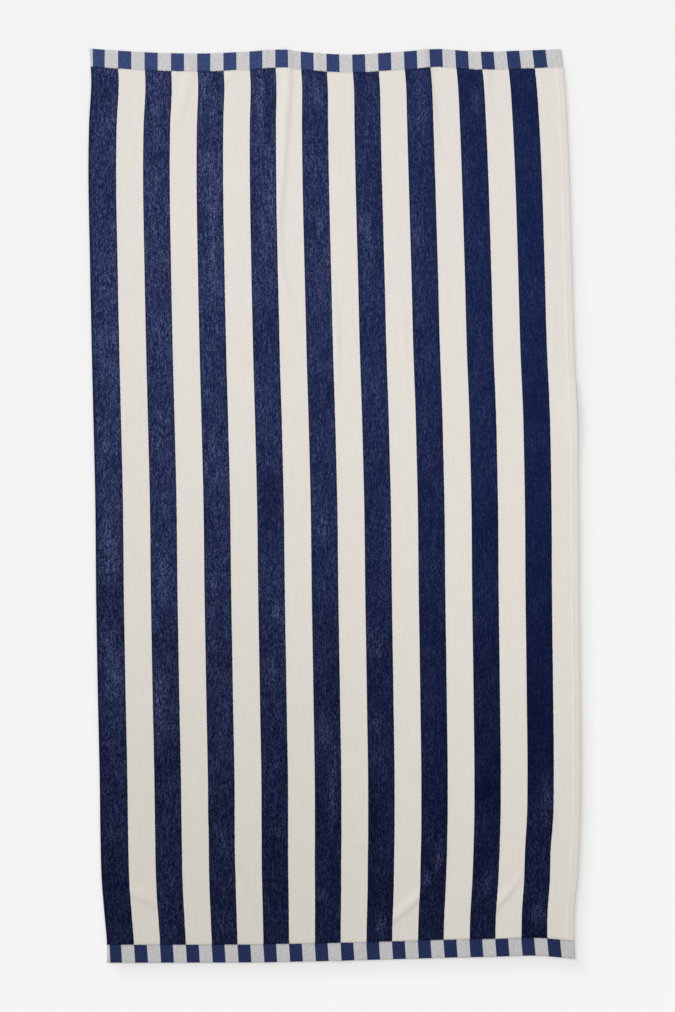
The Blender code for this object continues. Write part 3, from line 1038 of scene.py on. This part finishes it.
# BLUE_HIGH, at the upper left, is painted sheen over BLUE_LOW.
BLUE_LOW = (0.0235, 0.0390, 0.1180)
BLUE_HIGH = (0.0485, 0.0765, 0.2050)
PALE_YARN = (0.645, 0.634, 0.634)
PALE_YARN_SHADE = (0.470, 0.462, 0.473)
YARN_SHADE = 0.60  # of a yarn's own tone, in the darker blue yarns
PILE_ROUGHNESS = 0.95
BAND_ROUGHNESS = 0.80
PILE_LIFT = 0.6  # added to the pile's relief, so that it stands above the flat weave's
WEAVE_RELIEF = 0.4  # of the flat weave's relief that is used
BUMP_DEPTH = 0.0009
BUMP_STRENGTH = 0.6
SHEEN_TINT = (0.80, 0.86, 1.0, 1)


def new_material(name):
    """A material, its node tree and its shader."""
    material = bpy.data.materials.new(name)
    material.use_nodes = True
    return material, material.node_tree, material.node_tree.nodes["Principled BSDF"]


def cloth_place(tree):
    """The place on the flat cloth, from the map."""
    node = tree.nodes.new("ShaderNodeUVMap")
    node.uv_map = "cloth"
    return Value(tree, node.outputs[0])


def stored_number(tree, name):
    """The number that is stored at each point under that name."""
    node = tree.nodes.new("ShaderNodeAttribute")
    node.attribute_name = name
    return Value(tree, node.outputs["Fac"])


def bumpy(height, depth, strength=1.0):
    """The surface's direction, tilted by the relief."""
    node = height.tree.nodes.new("ShaderNodeBump")
    feed_all(node, Height=height, Distance=depth, Strength=strength)
    return Value(height.tree, node.outputs[0])


def pile_colour(pattern, nap_and_sheen, dark_pile, light_pile, show):
    """Ground yarn shows in the navy as a power of the dashes, so that few are bright and most are dark."""
    seen = dark_pile["Dashes"] * DASH_SHARE + dark_pile["Long runs"] * (1 - DASH_SHARE)
    # The navy and the cream go lighter towards the upper left by the mask of painted sheen.
    navy = blend_colours(nap_and_sheen["Lightness"], NAVY_DEEP, NAVY_LIGHT)
    navy = blend_colours(seen**GROUND_FALL * show, navy, SHOW_THROUGH)
    # Painted shade just inside the navy's borders.
    navy = blend_colours(pattern["Border shade"] * BORDER_SHADOW_SHARE, navy, NAVY_BORDER_SHADOW)
    cream = blend_colours(nap_and_sheen["Lightness"], CREAM_LOW, CREAM_HIGH)
    # The cream is painted lighter at the lower right: painted light.
    cream = blend_colours(nap_and_sheen["Cream turn"], cream, CREAM_PAINTED_LIGHT)
    cream = shaded(cream, light_pile["Long runs"], CREAM_SHADE)
    return blend_colours(pattern["Navy"], cream, navy)


def band_colour(pattern, nap_and_sheen, weave):
    """Blue and pale blocks, each with lighter and darker yarns."""
    # The blue is painted lighter towards the upper left: painted sheen.
    blue = blend_colours(nap_and_sheen["Blue fading"], BLUE_LOW, BLUE_HIGH)
    blue = shaded(blue, weave["Yarns"], YARN_SHADE)
    pale = blend_colours(weave["Yarns"], PALE_YARN_SHADE, PALE_YARN)
    return blend_colours(pattern["Blue"], pale, blue)


def cotton(name, raggedness, show_through, cloudiness):
    """The cloth's material. The mask of the end bands chooses between pile and flat weave."""
    material, tree, shader = new_material(name)
    place = cloth_place(tree)
    pattern = place_group(woven_pattern, place, Raggedness=raggedness)
    nap_and_sheen = place_group(nap_and_sheen_masks, place, Cloudiness=cloudiness)
    dark_pile = place_group(short_pile, place)
    light_pile = place_group(short_pile, place, Column=CREAM_COLUMN, Run=CREAM_RUN)
    weave = place_group(flat_weave, place)
    end_band = pattern["End band"]
    # The marks add to the ground yarn that shows; those on the folds are painted light and shade.
    show = (nap_and_sheen["Show-through and sheen"] + stored_number(tree, "rubs_and_fold_shade")) * show_through
    pile = pile_colour(pattern, nap_and_sheen, dark_pile, light_pile, maths("MAXIMUM", show, LEAST_SHOW))
    band = band_colour(pattern, nap_and_sheen, weave)
    height = tree.nodes.new("ShaderNodeMix")
    feed_all(height, Factor=end_band, A=dark_pile["Height"] + PILE_LIFT, B=weave["Height"] * WEAVE_RELIEF)
    feed_all(
        shader,
        Base_Color=blend_colours(end_band, pile, band),
        Roughness=smooth_step(end_band, 0, 1, PILE_ROUGHNESS, BAND_ROUGHNESS),
        Normal=bumpy(Value(tree, height.outputs["Result"]), BUMP_DEPTH, BUMP_STRENGTH),
        Metallic=0, Specular_IOR_Level=0.02,
        Sheen_Weight=0.03, Sheen_Roughness=0.5, Sheen_Tint=SHEEN_TINT,
    )
    return material


face_cotton = cotton("striped_cotton_face", raggedness=0.0012, show_through=1.0, cloudiness=1.0)
back_cotton = cotton("striped_cotton_back", raggedness=0.0020, show_through=0.6, cloudiness=0.5)
cloth_mesh.materials.append(face_cotton)
cloth_mesh.materials.append(back_cotton)
kinds = np.zeros(len(cloth_mesh.polygons), np.int32)
kinds[len(top_faces):len(top_faces) + len(under_faces)] = 1
cloth_mesh.polygons.foreach_set("material_index", kinds)

# %% [markdown]
# ## Thread and loose loops
#
# Thread and loops are dyed like the cloth that they are in, so both read the woven pattern at their own place
# on the cloth: stripes in the pile and blocks in the bands. Their fibres show as fine light and dark spots.

# %% Thread and loop materials
YARN_NAVY = (0.0060, 0.0110, 0.0450)
YARN_CREAM = (0.790, 0.755, 0.695)
YARN_BLUE = (0.0300, 0.0480, 0.1350)
YARN_PALE = (0.560, 0.545, 0.550)
FIBRE_GRAIN = (0.0011, 0.0011, 2.0)  # across, up and offset
FIBRE_SPREAD = (0.3, 0.7)
FIBRE_SHADE = 0.85  # of the yarn's own tone, between the fibres
FIBRE_DEPTH = 0.0003


def yarn_material(name):
    """The colour of the cloth at the yarn's own place, down to FIBRE_SHADE of it between the fibres."""
    material, tree, shader = new_material(name)
    place = cloth_place(tree)
    pattern = place_group(woven_pattern, place, Raggedness=0.0)
    pile = blend_colours(pattern["Navy"], YARN_CREAM, YARN_NAVY)
    band = blend_colours(pattern["Blue"], YARN_PALE, YARN_BLUE)
    colour = blend_colours(pattern["End band"], pile, band)
    fibres = grains(place, *FIBRE_GRAIN, detail=1.0)
    feed_all(
        shader,
        Base_Color=shaded(colour, spread(fibres, *FIBRE_SPREAD), FIBRE_SHADE),
        Normal=bumpy(fibres, FIBRE_DEPTH), Roughness=0.85, Specular_IOR_Level=0.05,
    )
    return material


thread = yarn_material("sewing_thread")
side_stitches.data.materials.append(thread)
end_stitches.data.materials.append(thread)
loops.data.materials.append(yarn_material("pile_yarn"))

# %% [markdown]
# ## Telling the frame what each piece is
#
# The new cloth stands for the plain solid, which is hidden. Every piece rides on the towel's one body.

# %% Declaring the pieces
for piece in (cloth, side_stitches, end_stitches, loops):
    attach(piece, "root")
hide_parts("towel")

# %% [markdown]
# ## Light
#
# The light is soft. A wide lamp hangs over the upper part of the towel, so the lower end is a little darker.
# A second lamp stands far off at the upper left and low down, so the folds are light on that side and darker
# on the other. An even world fills the rest. A lamp's light on a flat floor is its power over pi squared,
# times the two cosines, over the distance squared, which is how the powers were chosen.

# %% Lamps and world
FILL = 0.55
OVERHEAD_PLACE = (0.0, 0.56, 2.4)
OVERHEAD_SIZE = 1.2
OVERHEAD_POWER = 24.5
SIDE_PLACE = (-9.0, 7.0, 4.8)
SIDE_SIZE = 3.2
SIDE_POWER = 500.0


def square_lamp(name, place, target, size, power):
    """A square lamp at place that faces target, with its size in metres and its power in watts."""
    data = bpy.data.lights.new(name, "AREA")
    data.shape = "SQUARE"
    data.size = size
    data.energy = power
    lamp = add_object(name, data)
    lamp.location = place
    lamp.rotation_euler = (Vector(target) - Vector(place)).to_track_quat("-Z", "Y").to_euler()


square_lamp("overhead lamp", OVERHEAD_PLACE, (*OVERHEAD_PLACE[:2], 0), OVERHEAD_SIZE, OVERHEAD_POWER)
square_lamp("side lamp", SIDE_PLACE, (0, 0, 0), SIDE_SIZE, SIDE_POWER)

world = bpy.data.worlds.new("even light")
world.use_nodes = True
world.node_tree.nodes["Background"].inputs["Color"].default_value = (1, 1, 1, 1)
world.node_tree.nodes["Background"].inputs["Strength"].default_value = FILL
bpy.context.scene.world = world
bpy.context.scene.view_settings.view_transform = "Standard"

# %% [markdown]
# ## The floor
#
# The floor is plain and pale, and is no part of the towel. It lies just under the cloth, so that the cloth's
# edge throws a thin soft shadow on it. A studio floor is evened out until it is one tone. Here its colour is
# the wanted tone over the light that falls on it: the world's even part, plus each lamp's part. For a lamp
# that points straight down, that part falls as the fourth power of the distance to it. For a lamp far off at
# the side it falls as the third power.
#
# A faint shadow also reaches a few centimetres out below and to the right, as under light that almost grazes
# the floor. A lamp so low would make each low fold stand out far too much. So this shadow is worked out: from
# each point of the floor a short walk is taken towards the light, and the share of it that lies under the
# cloth is stored at the point.

# %% Floor
FLOOR_SIZE = 30.0
FLOOR_DROP = 0.0002  # below the cloth
FLOOR_TONE = 0.896  # wanted everywhere, as a share of full light
OVERHEAD_LIGHT = 0.405  # on the floor right under the overhead lamp
SIDE_LIGHT = 0.12  # on the floor in the middle, from the side lamp
FINE_HALF = (0.55, 0.94)  # of the fine grid's width and length
FINE_SPACING = 0.007
WALK_LENGTH = 0.050
WALK_TOWARDS = (-0.6, 0.8)
WALK_STEPS = 24
SHADE_GROWS = (0.70, -0.50)  # from here to here along Y
SHADE_STRENGTH = (0.04, 0.14)  # the least and the most


def lamp_light(place, lamp_place, full_distance, power, full_light):
    """full_light times a power of full_distance over the distance to the lamp."""
    away = place.tree.nodes.new("ShaderNodeVectorMath")
    away.operation = "DISTANCE"
    feed(away.inputs[0], place)
    feed(away.inputs[1], lamp_place)
    return (full_distance / Value(place.tree, away.outputs["Value"])) ** power * full_light


def floor_material():
    """The tone, less the shade, over all the light that falls on the floor."""
    material, tree, shader = new_material("pale_floor")
    place = Value(tree, tree.nodes.new("ShaderNodeTexCoord").outputs["Object"])
    light = lamp_light(place, OVERHEAD_PLACE, OVERHEAD_PLACE[2], 4.0, OVERHEAD_LIGHT)
    side_light = lamp_light(place, SIDE_PLACE, Vector(SIDE_PLACE).length, 3.0, SIDE_LIGHT)
    lit_tone = (1.0 - stored_number(tree, "shade")) * FLOOR_TONE
    grey = lit_tone / (light + side_light + FILL)
    feed_all(shader, Base_Color=grey, Roughness=1.0, Specular_IOR_Level=0.0)
    return material


def share_under_cloth(floor_x, floor_y):
    """The mean, over even steps of the walk, of 1 where the step lies between all four edges, and else 0."""
    step = (np.arange(WALK_STEPS) + 0.5) / WALK_STEPS * WALK_LENGTH
    at_x = floor_x[..., None] + WALK_TOWARDS[0] * step
    at_y = floor_y[..., None] + WALK_TOWARDS[1] * step
    between_sides = (at_x > np.interp(at_y, y[0], x[0])) & (at_x < np.interp(at_y, y[-1], x[-1]))
    between_ends = (at_y > np.interp(at_x, x[:, 0], y[:, 0])) & (at_y < np.interp(at_x, x[:, -1], y[:, -1]))
    return np.mean(between_sides & between_ends, axis=-1)


def make_floor():
    """A grid, fine near the towel. A point's shade is its share under the cloth, times a strength that grows
    evenly from the upper end to below the middle."""
    near_x = even_steps(-FINE_HALF[0], FINE_HALF[0], FINE_SPACING)
    near_y = even_steps(-FINE_HALF[1], FINE_HALF[1], FINE_SPACING)
    half = FLOOR_SIZE / 2
    floor_x, floor_y = np.meshgrid([-half, *near_x, half], [-half, *near_y, half], indexing="ij")
    strength = np.interp(floor_y, SHADE_GROWS[::-1], SHADE_STRENGTH[::-1])
    shade = strength * share_under_cloth(floor_x, floor_y)
    corners = rows_of(floor_x, floor_y, np.full_like(floor_x, -FLOOR_DROP))
    mesh = new_mesh("floor", corners, grid_faces(np.arange(floor_x.size).reshape(floor_x.shape)))
    store_number(mesh, "shade", shade)
    mesh.materials.append(floor_material())
    print("floor:", len(mesh.polygons), "faces, deepest shade %.2f" % shade.max())
    return add_object("floor", mesh)


floor = make_floor()

# %% [markdown]
# ## Camera
#
# The towel is seen from straight above, from far enough away that its edges don't lean.

# %% Camera
CAMERA_HEIGHT = 5.0
PICTURE_ROWS = 1012
FLOOR_PER_ROW = 0.001862  # metres of floor in one row of the picture's pixels
CAMERA_OVER = (0.0051, -0.0007)
SENSOR = 36.0

camera_data = bpy.data.cameras.new("camera")
camera_data.sensor_width = SENSOR
camera_data.lens = SENSOR * CAMERA_HEIGHT / (PICTURE_ROWS * FLOOR_PER_ROW)
camera = add_object("camera", camera_data)
camera.location = (*CAMERA_OVER, CAMERA_HEIGHT)
bpy.context.scene.camera = camera
